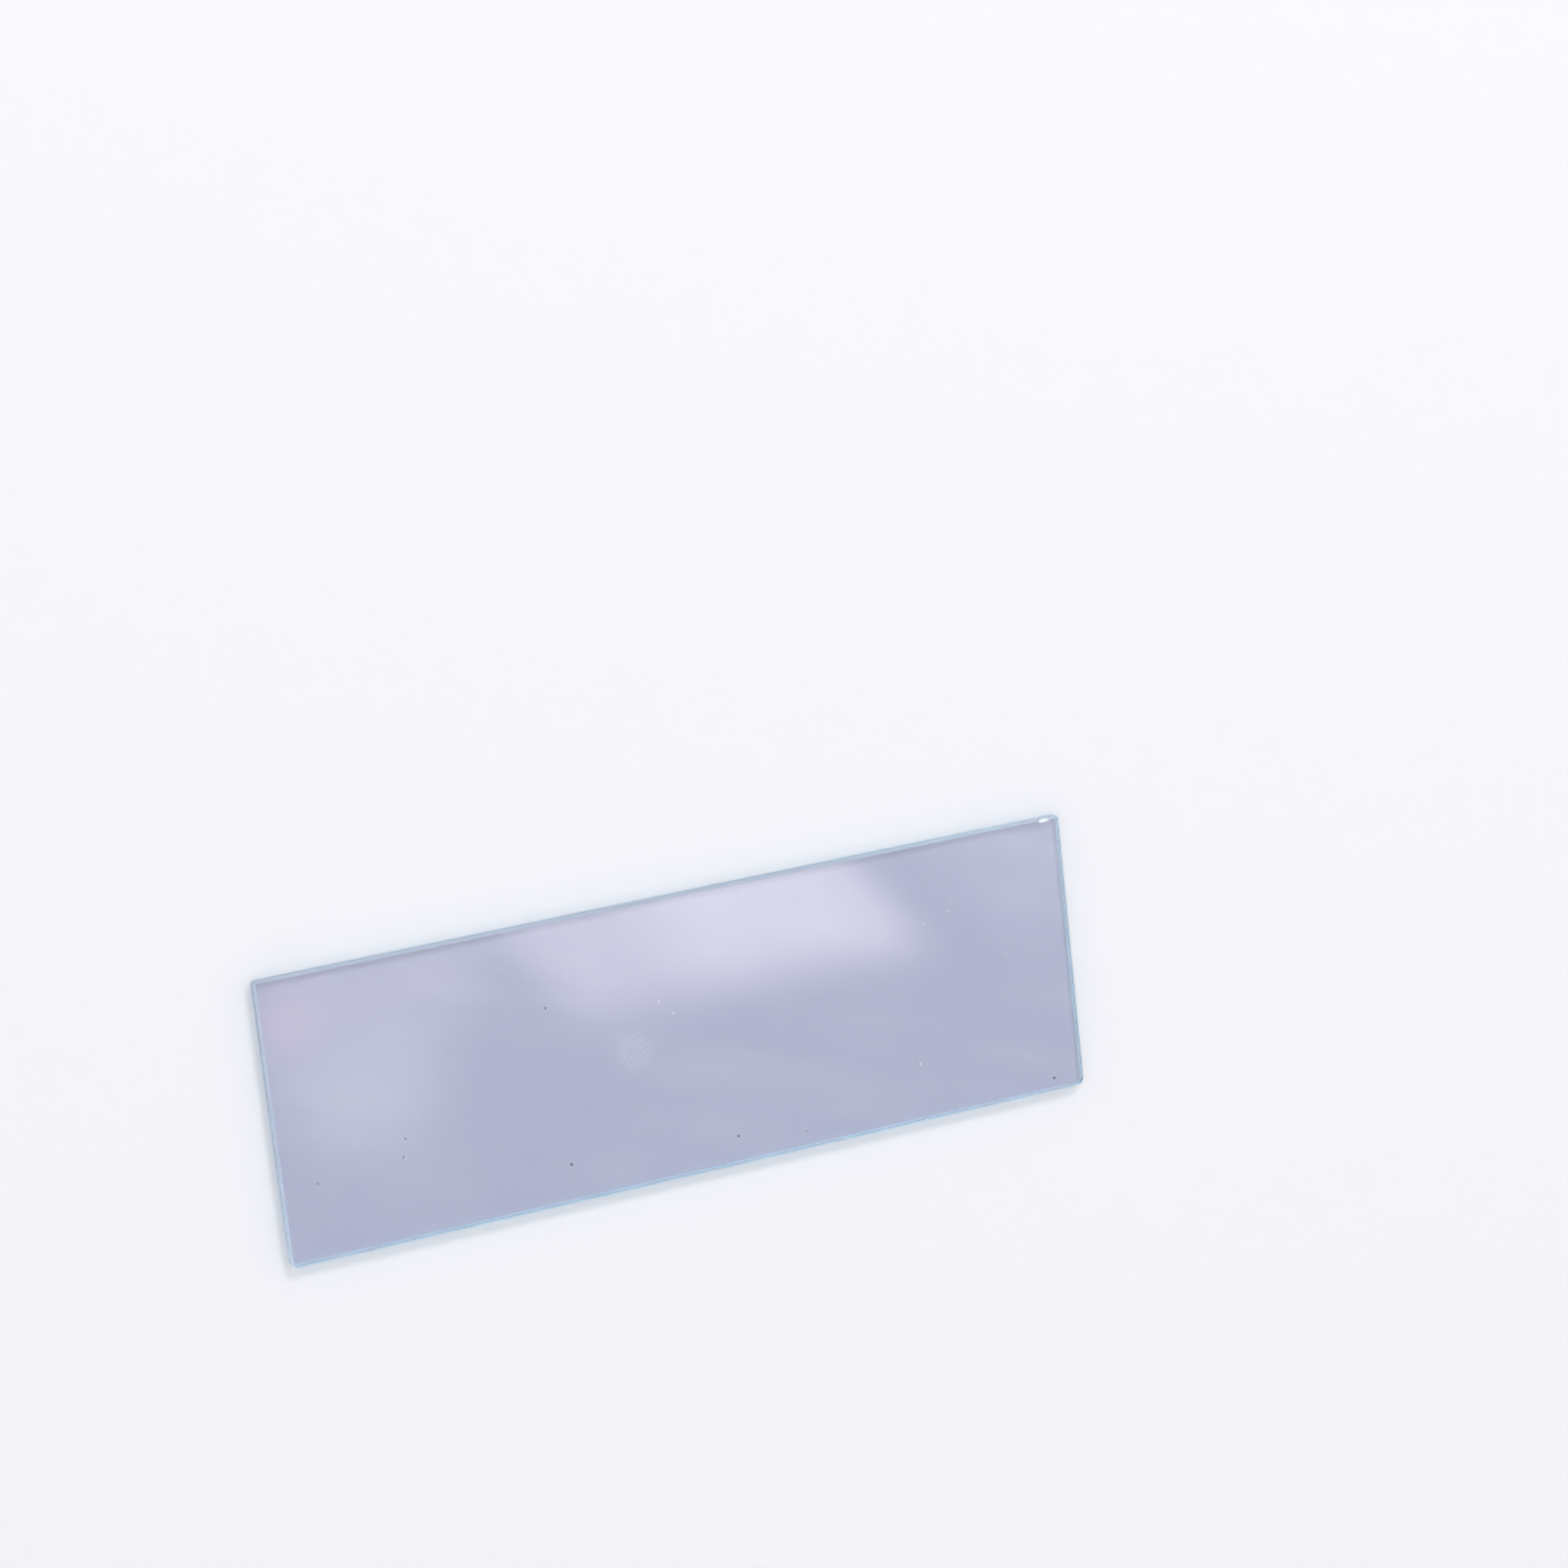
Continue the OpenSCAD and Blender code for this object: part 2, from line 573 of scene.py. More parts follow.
# %% Finger mark
finger_mark, given, out = new_group(
    "finger_mark",
    [("Position", "Vector", (0, 0, 0)), ("Centre", "Vector", (0, 0, 0)), ("Turn", "Float", 0.0),
     ("Spacing", "Float", 0.48 * mm), ("Reach", "Float", 2.6 * mm), ("Bow", "Float", 4.2 * mm)],
    ["Mask"])
tree = finger_mark
local = add(tree, "VectorMath", {"operation": "SUBTRACT"})
tree.links.new(given["Position"], local.inputs[0])
tree.links.new(given["Centre"], local.inputs[1])
spun = add(tree, "VectorRotate", {"rotation_type": "Z_AXIS"},
           Vector=local.outputs["Vector"], Angle=times(tree, given["Turn"], -1))
axes = add(tree, "SeparateXYZ", Vector=spun.outputs["Vector"]).outputs


def span(tree, across, up):
    """The length of a flat step with the two parts given."""
    return calc(tree, "SQRT", calc(tree, "ADD", times(tree, across, across), times(tree, up, up)))


ridge_bend = 1.6 * mm          # how far the slow noise can push a ridge aside
drift = add(tree, "TexNoise", Vector=given["Position"], Scale=260.0, Detail=1.5)
nudge = times(tree, calc(tree, "SUBTRACT", drift.outputs["Fac"], 0.5), ridge_bend)
to_core = span(tree, axes["X"], calc(tree, "ADD", axes["Y"], given["Bow"]))
turns = calc(tree, "DIVIDE", calc(tree, "ADD", to_core, nudge), given["Spacing"])
ridge = calc(tree, "SINE", times(tree, turns, 2 * math.pi))
beads = add(tree, "TexNoise", Vector=given["Position"], Scale=5200.0, Detail=1.0)
ridge = times(tree, faded(tree, ridge, -0.1, 0.5), faded(tree, beads.outputs["Fac"], 0.36, 0.5))
away = calc(tree, "DIVIDE", span(tree, axes["X"], axes["Y"]), given["Reach"])
touch = add(tree, "TexNoise", Vector=given["Position"], Scale=520.0, Detail=2.0)
patchy = calc(tree, "ADD", away, times(tree, touch.outputs["Fac"], 0.8))
film = faded(tree, patchy, 0.8, 1.3, 1.0, 0.0)
mask = times(tree, film, calc(tree, "ADD", times(tree, ridge, 0.8), 0.2))
tree.links.new(mask, out["Mask"])
print("finger mark:", len(finger_mark.nodes), "nodes")

# %% [markdown]
# ## Wiped film and fine dust
# A plate that has been wiped keeps a film too thin to see except where it dulls a reflection, laid
# in the direction of the wipe, and dust finer than a hair settles on top. Each is a group with its
# own named values, so the same plate can be shown cleaner or dirtier by changing one number.

# %% Wiped film
wiped_film, given, out = new_group(
    "wiped_film",
    [("Position", "Vector", (0, 0, 0)), ("Turn", "Float", 0.35), ("Width", "Float", 260.0),
     ("Stretch", "Float", 0.12)],
    ["Mask"])
tree = wiped_film
spun = add(tree, "VectorRotate", {"rotation_type": "Z_AXIS"}, Vector=given["Position"],
           Angle=given["Turn"])
axes = add(tree, "SeparateXYZ", Vector=spun.outputs["Vector"]).outputs
drawn_out = add(tree, "CombineXYZ", X=times(tree, axes["X"], given["Stretch"]), Y=axes["Y"])
streaks = add(tree, "TexNoise", Vector=drawn_out.outputs["Vector"], Scale=given["Width"],
              Detail=5.0, Roughness=0.62, Distortion=0.35)
clouds = add(tree, "TexNoise", Vector=given["Position"], Scale=85.0, Detail=2.0)
mask = times(tree, faded(tree, streaks.outputs["Fac"], 0.38, 0.72),
             faded(tree, clouds.outputs["Fac"], 0.35, 0.65))
tree.links.new(mask, out["Mask"])
print("wiped film:", len(wiped_film.nodes), "nodes")

# %% Fine dust
fine_dust, given, out = new_group(
    "fine_dust",
    [("Position", "Vector", (0, 0, 0)), ("Cell", "Float", 1.3 * mm), ("Share", "Float", 0.4),
     ("Grain", "Float", 0.028)],
    ["Mask"])
tree = fine_dust
per_metre = calc(tree, "DIVIDE", 1.0, given["Cell"])
cells = add(tree, "TexVoronoi", {"feature": "F1", "voronoi_dimensions": "2D"},
            Vector=given["Position"], Scale=per_metre, Randomness=1.0)
picked = add(tree, "SeparateColor", Color=cells.outputs["Color"]).outputs
size = times(tree, given["Grain"], calc(tree, "ADD", times(tree, picked["Green"], 1.2), 0.4))
inside = calc(tree, "LESS_THAN", cells.outputs["Distance"], size)
chosen = calc(tree, "LESS_THAN", picked["Red"], given["Share"])
tree.links.new(times(tree, inside, chosen), out["Mask"])
print("fine dust:", len(fine_dust.nodes), "nodes")

# %% [markdown]
# ## Clear glass, ground and broken
# The glass is one Principled shader that lets light through, on one closed body, because the tint
# inside has to start where light enters and stop where it leaves. Three things make it more than a
# clear block:
# - a tint on its surface, and an absorption inside that takes red first, so an edge, where light
#   has come a long way, is green-blue;
# - the ground rim, rough, with a crushed skin that throws light back. A rough coat of high index
#   does the work of that skin, and the mask `ground` keeps it to the rim;
# - the marks of use. Grease, film and dust scatter light towards the eye, so they look paler than
#   the clear glass round them. Each is a coat and a paler tint, and grease and film are a little
#   rough too.

# %% Glass
glass_index = 1.52
glass, tree, shader = new_finish("drawn_glass_ground_edges", Transmission_Weight=1.0,
                                 IOR=glass_index, Coat_IOR=3.0, Coat_Roughness=0.9)

place = add(tree, "TexCoord").outputs["Object"]
ground = add(tree, "Attribute", {"attribute_name": "ground"}).outputs["Fac"]
broken = add(tree, "Attribute", {"attribute_name": "scar"}).outputs["Fac"]
marks = place_group(tree, wheel_marks, Position=place)
touch = place_group(tree, finger_mark, Position=place, Centre=(-5.0 * mm, -0.4 * mm, 0),
                    Turn=math.radians(38))["Mask"]
film = place_group(tree, wiped_film, Position=place)["Mask"]
dust = place_group(tree, fine_dust, Position=place)["Mask"]
top_only = calc(tree, "GREATER_THAN", add(tree, "SeparateXYZ", Vector=place).outputs["Z"],
                slide_thickness * 0.99)
face = calc(tree, "SUBTRACT", calc(tree, "SUBTRACT", 1.0, ground), broken, clamp=True)
face_top = times(tree, face, top_only)
touch = times(tree, touch, face_top)
film = times(tree, film, face)
dust = times(tree, dust, face_top)
print("glass: masks and marks,", len(tree.nodes), "nodes so far")

# %% [markdown]
# ### How rough it is
# A drawn face is as smooth as glass gets, a finger mark blurs it a little, and the wheel leaves the
# rim matt. One value carries all of it, switched by the mask of the rim.

# %% Glass: roughness
polish, grease_blur, film_blur = 0.015, 0.16, 0.03
ground_roughness, frost_swing = 0.8, 0.16

face_rough = calc(tree, "MULTIPLY_ADD", touch, grease_blur, polish)
face_rough = calc(tree, "MULTIPLY_ADD", film, film_blur, face_rough)
rim_rough = calc(tree, "MULTIPLY_ADD", marks["Frost"], frost_swing,
                 ground_roughness - frost_swing / 2)
rough = add(tree, "Mix", {"data_type": "FLOAT"}, Factor=ground, A=face_rough, B=rim_rough)
tree.links.new(rough.outputs["Result"], shader.inputs["Roughness"])
print("roughness", polish, "on a clean face and about", ground_roughness, "on the rim")

# %% [markdown]
# ### What lies on its surface
# Ground glass is white because its skin is full of tiny cracks. Roughness alone would only blur
# what is seen through it, so the skin is a coat that throws light back: all over the rim, where
# grease or dust lies on a face, and in a spot in the chip where the blow bruised the glass. A wiped
# film has only a trace of it.

# %% Glass: skin, marks and bruise
bruise_core, bruise_reach = 0.08 * mm, 0.26 * mm     # from the point that was struck
least_skin, frost_skin = 0.35, 0.25                  # the rim's coat, and what the frost adds
grease_coat, film_coat, dust_coat = 0.45, 0.012, 0.8

struck = add(tree, "VectorMath", {"operation": "DISTANCE"})
tree.links.new(place, struck.inputs[0])
struck.inputs[1].default_value = chip_strike
bruise = times(tree, faded(tree, struck.outputs["Value"], bruise_core, bruise_reach, 1.0, 0.0),
               times(tree, broken, marks["Frost"]))
skin = times(tree, ground, calc(tree, "MULTIPLY_ADD", marks["Frost"], frost_skin, least_skin))
coat = calc(tree, "ADD", skin, bruise)
coat = calc(tree, "MULTIPLY_ADD", touch, grease_coat, coat)
coat = calc(tree, "MULTIPLY_ADD", film, film_coat, coat)
coat = calc(tree, "MULTIPLY_ADD", dust, dust_coat, coat, clamp=True)
tree.links.new(coat, shader.inputs["Coat Weight"])
print("coat on the rim from", least_skin, "to", least_skin + frost_skin)

# %% [markdown]
# ### Tint and relief
# The tint is mixed in order of what lies over what: the clear face, grease on it, dust on that, then
# the ground rim and the fresh breaks. It acts where light enters and again where it leaves, so the
# numbers are paler than the glass will look. The wheel lines are the only relief.

# %% Glass: tint and relief
surface_tint = (0.734, 0.742, 0.832, 1)
rim_tint = (0.84, 0.92, 0.99, 1)
scar_tint = (0.97, 0.985, 1.0, 1)
grease_tint = (0.88, 0.885, 0.93, 1)
dust_tint = (0.98, 0.98, 1.0, 1)
tint_drift = 0.01          # share by which the melt's tint drifts over a face
film_share = 0.28          # how strongly the film tints, beside a finger mark


def blend_colours(tree, share, first, second):
    """A mix of two colours or colour sockets; share 0 gives the first."""
    made = add(tree, "Mix", {"data_type": "RGBA"}, Factor=share)
    for socket, value in zip([s for s in made.inputs if s.type == "RGBA"], (first, second)):
        feed(tree, socket, value)
    return [s for s in made.outputs if s.type == "RGBA"][0]


cloudy = add(tree, "TexNoise", Vector=place, Scale=30.0, Detail=2.0).outputs["Fac"]
tint = blend_colours(tree, cloudy,
                     (*[value * (1 - tint_drift) for value in surface_tint[:3]], 1),
                     (*[value * (1 + tint_drift) for value in surface_tint[:3]], 1))
grease = calc(tree, "MULTIPLY_ADD", film, film_share, touch, clamp=True)
tint = blend_colours(tree, grease, tint, grease_tint)
tint = blend_colours(tree, dust, tint, dust_tint)
tint = blend_colours(tree, ground, tint, rim_tint)
tint = blend_colours(tree, broken, tint, scar_tint)
tree.links.new(tint, shader.inputs["Base Color"])
relief = times(tree, marks["Lines"], ground)
bump = add(tree, "Bump", Strength=1.0, Distance=0.004 * mm, Height=relief)
tree.links.new(bump.outputs["Normal"], shader.inputs["Normal"])
print("tint and relief,", len(tree.nodes), "nodes so far")

# %% [markdown]
# ### Colour in depth
# Iron in the melt takes red out of light that goes a long way. Absorption in the body of the glass
# does this by itself: a millimetre of it hardly shows, and a whole plate seen end on is green-blue.

# %% Glass: absorption
depth = add(tree, "VolumeAbsorption", Color=(0.45, 0.87, 0.95, 1), Density=34.0)
tree.links.new(depth.outputs["Volume"], tree.nodes["Material Output"].inputs["Volume"])
plate.data.materials.clear()
plate.data.materials.append(glass)
print("glass:", len(tree.nodes), "nodes")

# %% [markdown]
# ## Crushed glass and a painted highlight in the chip
# Where the blow fell the glass is crushed, and the splinters that still hold to the hollow are
# white, as crushed ice is. A white stain would look painted. A crust of small splinters, each with
# its own flat sides, glitters as the real thing does. Its white is partly that crushed glass and
# partly a painted highlight: a band of it that is wide under the blow and runs out to a thread
# stands in for the bright crescent glint of a fresh chip.

# %% One splinter
splinter_draw = random.Random(11)
splinter_count = 760
splinter_sizes = (0.035, 0.085)               # mm
shortest_tip, longest_tip = 0.35, 0.6         # shares of the size
band_turn, band_half_turn = 3, 37             # degrees along the hollow: its middle and half length
band_tilt, band_width, band_droop = 52, 5.5, 10     # degrees up the hollow


def splinter(body, middle, away, size):
    """A closed six-cornered splinter with its foot in the glass and its length along the hollow."""
    first = away.cross(Vector((splinter_draw.uniform(-1, 1), splinter_draw.uniform(-1, 1), 0.4)))
    first.normalize()
    second = away.cross(first)
    long, wide = size, size * splinter_draw.uniform(0.4, 0.8)
    tall = size * splinter_draw.uniform(0.3, 0.6)
    tips = [first * long, -first * long, second * wide, -second * wide, away * tall, -away * tall]
    tips = [body.verts.new(middle + tip * splinter_draw.uniform(shortest_tip, longest_tip))
            for tip in tips]
    for a in (0, 1):
        for b in (2, 3):
            for c in (4, 5):
                body.faces.new((tips[a], tips[b], tips[c]))


# %% A crust of splinters
# the crust is laid where the chip's bright crescent shows: crushed glass and a painted highlight
splinters = bmesh.new()
kept = 0
while kept < splinter_count:
    share = splinter_draw.uniform(-1, 1)
    spread = 0.5 + 0.5 * math.sqrt(max(0.0, 1 - ((share - 0.25) / 1.25) ** 2))
    sideways = math.radians(band_turn + band_half_turn * share)
    tilt = math.radians(band_tilt + splinter_draw.gauss(0, band_width) * spread
                        - band_droop * share ** 2)
    away = Vector((-math.sin(sideways), math.cos(sideways) * math.cos(tilt),
                   math.cos(sideways) * math.sin(tilt)))
    size = splinter_draw.uniform(*splinter_sizes) * mm * (1.1 - 0.5 * abs(share))
    middle = chip_centre - away * (chip_radius - 0.05 * size)
    reach = longest_tip * size
    if max(middle.y + reach - half_width, middle.z + reach - slide_thickness) > 0:
        continue            # would stand proud of the plate
    splinter(splinters, middle, away, size)
    kept += 1
splinter_mesh = finished_mesh(splinters, "crushed_glass_and_highlight")
chip_crust_highlight = put_in_scene("crushed_glass_and_highlight", splinter_mesh)
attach(chip_crust_highlight, "root")
print(splinter_count, "splinters,", len(splinter_mesh.polygons), "faces")

# %% [markdown]
# Crushed glass scatters so much that it hides what is behind it, so each splinter can be a plain
# white body with a cold tinge, and no light need be traced through it. That white is also the
# painted highlight of the chip's crescent.

# %% Crushed glass finish
chip_highlight_finish, tree, shader = new_finish("crushed_glass_and_highlight", Roughness=0.35, IOR=glass_index)
cold = add(tree, "TexNoise", Vector=add(tree, "TexCoord").outputs["Object"], Scale=9000.0)
ramp = add(tree, "ValToRGB", Fac=cold.outputs["Fac"])
ramp.color_ramp.elements[0].position, ramp.color_ramp.elements[1].position = 0.35, 0.6
# painted highlight: these near-white colours stand partly for the chip's glint
ramp.color_ramp.elements[0].color = (0.80, 0.90, 0.93, 1)
ramp.color_ramp.elements[1].color = (0.97, 0.98, 0.99, 1)
tree.links.new(ramp.outputs["Color"], shader.inputs["Base Color"])
splinter_mesh.materials.append(chip_highlight_finish)
print("crushed glass finish:", len(tree.nodes), "nodes")

# %% [markdown]
# ## Dust that can be seen one grain at a time
# The larger grains and two short fibres stand on the face, so they are small closed bodies that
# throw their own shadows. Each grain is a ball pressed flat and pushed about by its own draw. The
# few that catch the eye are listed one by one, and the finest are scattered by the draw.

# %% One grain
dust_draw = random.Random(7)
dark_grains = [
    # x and y on the face and width, in millimetres
    (-26.7, -3.5, 0.20), (-27.1, -5.1, 0.15), (-34.9, -5.7, 0.15), (-12.1, -9.1, 0.25),
    (-12.7, 5.2, 0.20), (3.7, -10.0, 0.20), (10.2, -11.0, 0.15), (35.0, -11.4, 0.25),
]
pale_grains = [
    (26.1, 6.1, 0.20), (23.7, 5.4, 0.15), (21.9, -7.3, 0.20), (-2.3, 3.6, 0.20),
    (-1.1, 2.3, 0.15), (31.4, 1.1, 0.15),
]
small_grains = 60
scatter_x, scatter_y = 36.5, 11.5       # how far from the middle the finest dust is strewn, mm
small_widths = (0.03, 0.08)             # mm
lumpiness = 0.16
lift = 0.42                             # how high a grain's middle stands, as a share of its height
face_top_level = slide_high.z


def grain(body, shade_layer, x, y, size, shade):
    """A flattened lump with its foot a hair inside the face; size is its width in millimetres."""
    made = bmesh.ops.create_icosphere(body, subdivisions=2, radius=0.5)["verts"]
    length, height = dust_draw.uniform(0.8, 1.5), dust_draw.uniform(0.4, 0.7)
    turn = Matrix.Rotation(dust_draw.uniform(0, math.pi), 3, "Z")
    for vertex in made:
        push = 1 + dust_draw.uniform(-lumpiness, lumpiness)
        vertex.co = turn @ Vector((vertex.co.x * length, vertex.co.y, vertex.co.z * height)) * push
        vertex.co = vertex.co * size * mm + Vector((
            x * mm, y * mm, face_top_level + size * mm * height * lift))
    for face in {face for vertex in made for face in vertex.link_faces}:
        face[shade_layer] = shade
        face.smooth = True


# %% Grains on the face
grains = bmesh.new()
shade_layer = grains.faces.layers.float.new("shade")
for x, y, size in dark_grains:
    grain(grains, shade_layer, x, y, size, dust_draw.uniform(0.0, 0.15))
for x, y, size in pale_grains:
    grain(grains, shade_layer, x, y, size, dust_draw.uniform(0.85, 1.0))
for _ in range(small_grains):
    grain(grains, shade_layer, dust_draw.uniform(-scatter_x, scatter_x),
          dust_draw.uniform(-scatter_y, scatter_y), dust_draw.uniform(*small_widths),
          dust_draw.choice((0.1, 0.5, 0.9)))
grain_count = len(grains.faces)
print(len(dark_grains) + len(pale_grains) + small_grains, "grains")

# %% [markdown]
# Two short fibres, of the kind that a wiping cloth sheds, are thin tubes swept along a bent path.
# They go into the same mesh as the grains, because they are made of the same stuff.

# %% Fibres
fibres = [
    # x and y in mm, turn in radians, length, curl and radius in mm, shade
    (26.6, 6.9, 1.9, 0.95, 0.16, 0.011, 1.0), (-16.4, 5.2, 0.5, 1.50, 0.22, 0.009, 0.9),
]


def fibre(body, shade_layer, x, y, turn, length, curl, radius, shade, steps=24, sides=8):
    """A thin tube that lies on the face along a bent path and closes at both ends, in metres."""
    points = []
    for i in range(steps + 1):
        t = i / steps - 0.5
        along, aside = t * length, curl * (math.cos(5 * t + curl * 900) - 0.8 * t)
        points.append(Vector((
            x + along * math.cos(turn) - aside * math.sin(turn),
            y + along * math.sin(turn) + aside * math.cos(turn),
            face_top_level + radius * (0.9 + 1.2 * (1 + math.sin(7 * t)) / 2))))
    rings = []
    for i, point in enumerate(points):
        ahead = (points[min(i + 1, steps)] - points[max(i - 1, 0)]).normalized()
        side = ahead.cross(Vector((0, 0, 1))).normalized()
        up = side.cross(ahead)
        rings.append([body.verts.new(point + (side * math.cos(a) + up * math.sin(a)) * radius)
                      for a in (2 * math.pi * k / sides for k in range(sides))])
    made = [body.faces.new(tuple(reversed(rings[0]))), body.faces.new(tuple(rings[-1]))]
    for first, second in zip(rings, rings[1:]):
        for k in range(sides):
            n = (k + 1) % sides
            made.append(body.faces.new((first[k], first[n], second[n], second[k])))
    for face in made:
        face[shade_layer] = shade
        face.smooth = len(face.verts) == 4


for x, y, turn, length, curl, radius, shade in fibres:
    fibre(grains, shade_layer, x * mm, y * mm, turn, length * mm, curl * mm, radius * mm, shade)
dust_mesh = finished_mesh(grains, "dust_grains")
dust_piece = put_in_scene("dust_grains", dust_mesh)
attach(dust_piece, "root")
print(grain_count, "faces of grains,", len(dust_mesh.polygons) - grain_count, "of fibres")

# %% [markdown]
# All the dust shares one dull finish. Each body's own shade is stored on its faces, and a ramp
# turns it into anything from soot to lint.

# %% Dust finish
dust_finish, tree, shader = new_finish("settled_dust", Roughness=0.9)
shade = add(tree, "Attribute", {"attribute_name": "shade"}).outputs["Fac"]
fuzz = add(tree, "TexNoise", Vector=add(tree, "TexCoord").outputs["Object"], Scale=30000.0)
shade = calc(tree, "ADD", shade, calc(tree, "MULTIPLY_ADD", fuzz.outputs["Fac"], 0.3, -0.15))
ramp = add(tree, "ValToRGB", Fac=shade)
ramp.color_ramp.elements[0].color = (0.10, 0.10, 0.14, 1)
ramp.color_ramp.elements[1].color = (0.86, 0.86, 0.88, 1)
tree.links.new(ramp.outputs["Color"], shader.inputs["Base Color"])
dust_mesh.materials.append(dust_finish)
print("dust finish:", len(tree.nodes), "nodes")

# %% [markdown]
# ## The table and the room
# Clear glass shows its surroundings more than itself, so the studio is part of the look. The table
# is a pale sheet that curves up into a round wall, and no horizon line runs behind the glass from
# any side. Its top is set a hair below the plate, so the two surfaces never share a plane.

# %% Table that sweeps up into a wall
table_gap = 0.05 * mm
flat_radius, bend, wall_top = 0.9, 0.6, 1.15        # metres
table_segments, bend_steps, wall_rows = 144, 24, 11


def sweep_mesh():
    """A round table top whose rim bends up into a wall, turned from one profile."""
    profile = [(r, 0.0) for r in (0.1, 0.3, 0.6, flat_radius)]
    for i in range(1, bend_steps + 1):
        angle = i / bend_steps * math.pi / 2
        profile.append((flat_radius + bend * math.sin(angle), bend * (1 - math.cos(angle))))
    for height in np.linspace(bend, wall_top, wall_rows + 1)[1:]:
        profile.append((flat_radius + bend, float(height)))
    body = bmesh.new()
    middle = body.verts.new((0, 0, 0))
    rings = []
    for radius, height in profile:
        turns = [2 * math.pi * i / table_segments for i in range(table_segments)]
        rings.append([body.verts.new((radius * math.cos(turn), radius * math.sin(turn), height))
                      for turn in turns])
    for i in range(table_segments):
        j = (i + 1) % table_segments
        body.faces.new((middle, rings[0][i], rings[0][j]))
        for inner, outer in zip(rings, rings[1:]):
            body.faces.new((inner[i], outer[i], outer[j], inner[j]))
    mesh = bpy.data.meshes.new("table_sweep")
    body.to_mesh(mesh)
    body.free()
    mesh.polygons.foreach_set("use_smooth", [True] * len(mesh.polygons))
    return mesh


table = put_in_scene("table_sweep", sweep_mesh())
table.location.z = slide_low.z - table_gap
print(len(table.data.polygons), "faces in the table and wall")

# %% [markdown]
# ## A wash of light on the wall
# From low down, a glass face mirrors the wall, and a wall of one even tone would make the plate
# look like card. Eight broad washes of light round the wall, as from lamps stood at its foot, give
# it something to mirror from every side. Their strength is stored on the points of the wall.

# %% Wall wash
wash_pitch, wash_first, wash_half_turn, wash_turn_soft = 45.0, 10.0, 13.0, 4.0      # degrees
wash_height, wash_reach, wash_reach_soft = 0.62, 0.21, 0.07                        # metres


def soft_step(inside, softness):
    """0 well outside a border, 1 well inside it, and a smooth slope between."""
    t = np.clip((inside + softness) / (2 * softness), 0, 1)
    return t * t * (3 - 2 * t)


def beside_nearest(places, pitch):
    """How far each place lies from the nearest whole pitch."""
    return abs((places + pitch / 2) % pitch - pitch / 2)


wall_points = np.array([vertex.co[:] for vertex in table.data.vertices])
wall_turn = np.degrees(np.arctan2(wall_points[:, 1], wall_points[:, 0])) - wash_first
wash = soft_step(wash_half_turn - beside_nearest(wall_turn, wash_pitch), wash_turn_soft)
wash *= soft_step(wash_reach - abs(wall_points[:, 2] - wash_height), wash_reach_soft)
table.data.attributes.new("wash", "FLOAT", "POINT").data.foreach_set("value", wash)
print(int((wash > 0.5).sum()), "of", len(wash), "points in the washes")

# %% [markdown]
# The sheet is matt paper, a little cold. The washes could be real lamps, but each would cost time
# and grain in the picture, so the paper gives out that light itself, from the values stored on it.

# %% Table finish
paper, tree, shader = new_finish("pale_table", Base_Color=(0.86, 0.86, 0.88, 1), Roughness=0.75,
                                 Specular_IOR_Level=0.2, Emission_Strength=0.6)
tree.links.new(add(tree, "Attribute", {"attribute_name": "wash"}).outputs["Fac"],
               shader.inputs["Emission Color"])
paper.cycles.emission_sampling = "NONE"
table.data.materials.append(paper)
print("table finish:", len(tree.nodes), "nodes")

# %% [markdown]
# ## The light
# One broad cloth ceiling, lit from behind by rows of lamps, does nearly all the work. A flat glass
# face mirrors whatever lies along the view's reflection, so that part of the ceiling decides how
# the face reads. To put a panel where its reflection is wanted, this cell works out which point of
# the ceiling a point of the face mirrors. The ceiling stays where it is when the view changes, so
# from elsewhere the panels slide over the glass as real ones do.

# %% Where each part of the face mirrors the ceiling
ceiling_height = 1.05
ceiling_half = 1.2


def mirrored_on_ceiling(x, y):
    """The ceiling point that the upper face mirrors at x, y millimetres, seen from the camera."""
    spot = Vector((x * mm, y * mm, slide_high.z))
    ray = spot - camera.location
    ray.z = -ray.z
    return spot + ray * ((ceiling_height - spot.z) / ray.z)


ceiling_scale = (mirrored_on_ceiling(10, 0) - mirrored_on_ceiling(0, 0)).length / (10 * mm)
print("a millimetre of face mirrors", round(ceiling_scale, 2), "mm of ceiling")

# %% [markdown]
# ## Lamps and panels
# Behind the cloth the lamps stand in even rows, and their pools of light give a plate seen from any
# side something soft to mirror. Over the mirrored patch they are screened, and soft panels hang
# there instead: a large slanted one that lays a bright veil over the far half of the face, and
# smaller, dimmer ones at the left. Every panel adds light and fades out at its border.

